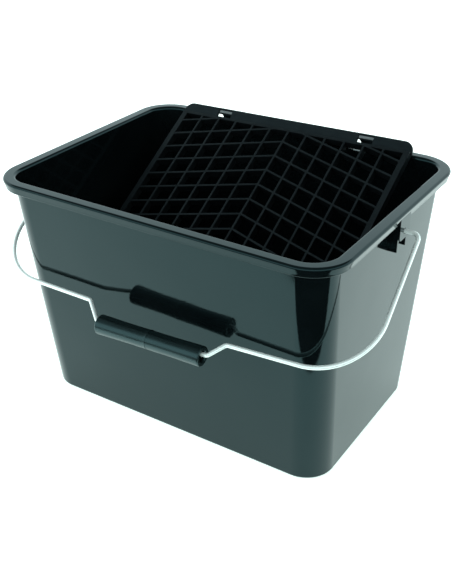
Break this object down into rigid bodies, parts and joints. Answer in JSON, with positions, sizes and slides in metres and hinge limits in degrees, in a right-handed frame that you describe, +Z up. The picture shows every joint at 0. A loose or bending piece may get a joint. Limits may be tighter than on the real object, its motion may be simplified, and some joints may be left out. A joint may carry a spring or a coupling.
{
  "type": "bucket",
  "caption": "Rectangular open plastic tub with a rolled rim, a swinging wire bail with a tube grip, and a hook-on sloping grid.",
  "frame": {"origin": "centre of the tub's base, on the floor", "axes": "+X along the tub's long side, +Z up, the front with the grip faces -Y and the grid hooks on at +Y"},
  "size_m": [0.384, 0.2802, 0.2421],
  "materials": {
    "tub": "gloss black, greenish in reflections",
    "bail_wire": "bright galvanised wire",
    "handle_grip": "satin black",
    "roller_grid": "satin black"
  },
  "bodies": {
    "tub": {"tub": "tub"},
    "bail": {"bail_wire": "bail_wire"},
    "grip": {"handle_grip": "handle_grip"},
    "grid": {"roller_grid": "roller_grid"}
  },
  "joints": [
    {"name": "bail_swing", "type": "hinge", "parent": "tub", "child": "bail", "pos_m": [0, 0.003, 0.212], "axis": [-1, 0, 0], "range_deg": [0, 244.6]},
    {"name": "grip_spin", "type": "hinge", "parent": "bail", "child": "grip", "pos_m": [0.0065, -0.13513, 0.12468], "axis": [0.9994, 0.0296, 0.0187], "continuous": true},
    {"name": "grid_lift", "type": "slide", "parent": "tub", "child": "grid", "axis": [0, 0, 1], "range_m": [0, 0.15]}
  ]
}
